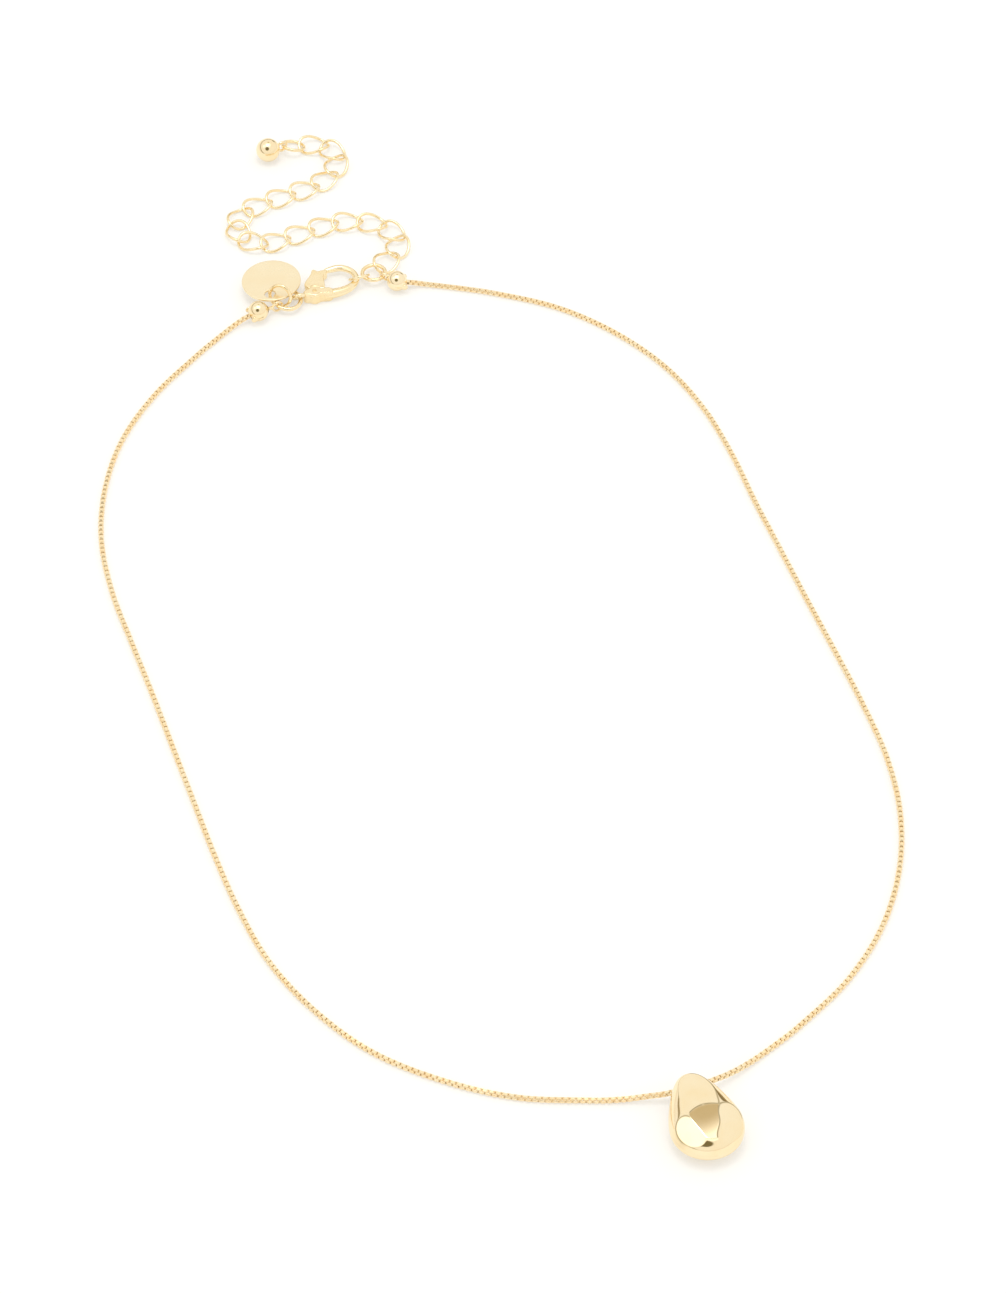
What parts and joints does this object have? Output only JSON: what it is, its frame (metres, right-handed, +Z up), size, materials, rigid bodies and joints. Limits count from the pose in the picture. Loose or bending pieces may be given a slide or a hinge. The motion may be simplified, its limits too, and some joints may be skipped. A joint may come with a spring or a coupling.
{
  "type": "teardrop pendant necklace",
  "caption": "Fine box chain necklace with a facetted teardrop pendant, a hook clasp, a plain round tag and an extender, fastened and lying flat to be worn round a neck.",
  "frame": {"origin": "middle of the necklace's outline, on the surface that it lies on", "axes": "+Z up from the surface, +Y from the pendant towards the clasp and extender, +X to the right"},
  "size_m": [0.1108, 0.1913, 0.0048],
  "materials": {
    "gold": "polished gold plate",
    "polished_gold": "mirror polished gold plate",
    "satin_gold": "satin gold plate",
    "chain_gold": "bright gold plated box links",
    "rivet_gold": "polished gold plate"
  },
  "bodies": {
    "root": {"chain_left": "chain_gold", "chain_right": "chain_gold", "pendant": "polished_gold", "bead_tip_left": "gold", "bead_tip_right": "gold", "tag": "satin_gold", "tag_ring": "gold", "jump_ring": "gold", "clasp_body": "gold", "clasp_rivet": "rivet_gold", "hook_ring": "gold", "join_ring": "gold", "end_ring": "gold", "end_drop": "gold", "extender_link_1": "gold", "extender_link_2": "gold", "extender_link_3": "gold", "extender_link_4": "gold", "extender_link_5": "gold", "extender_link_6": "gold", "extender_link_7": "gold", "extender_link_8": "gold", "extender_link_9": "gold", "extender_link_10": "gold", "extender_link_11": "gold", "extender_link_12": "gold", "extender_link_13": "gold", "extender_link_14": "gold", "extender_link_15": "gold", "extender_link_16": "gold", "extender_link_17": "gold", "extender_link_18": "gold"},
    "lever": {"clasp_lever": "gold"}
  },
  "joints": [
    {"name": "lever_hinge", "type": "hinge", "parent": "root", "child": "lever", "pos_m": [-0.02609, 0.06091, 0.00095], "axis": [0, 0, 1], "range_deg": [0, 18], "stiffness_Nm_per_rad": 0.0002, "springref_deg": -17.19}
  ]
}
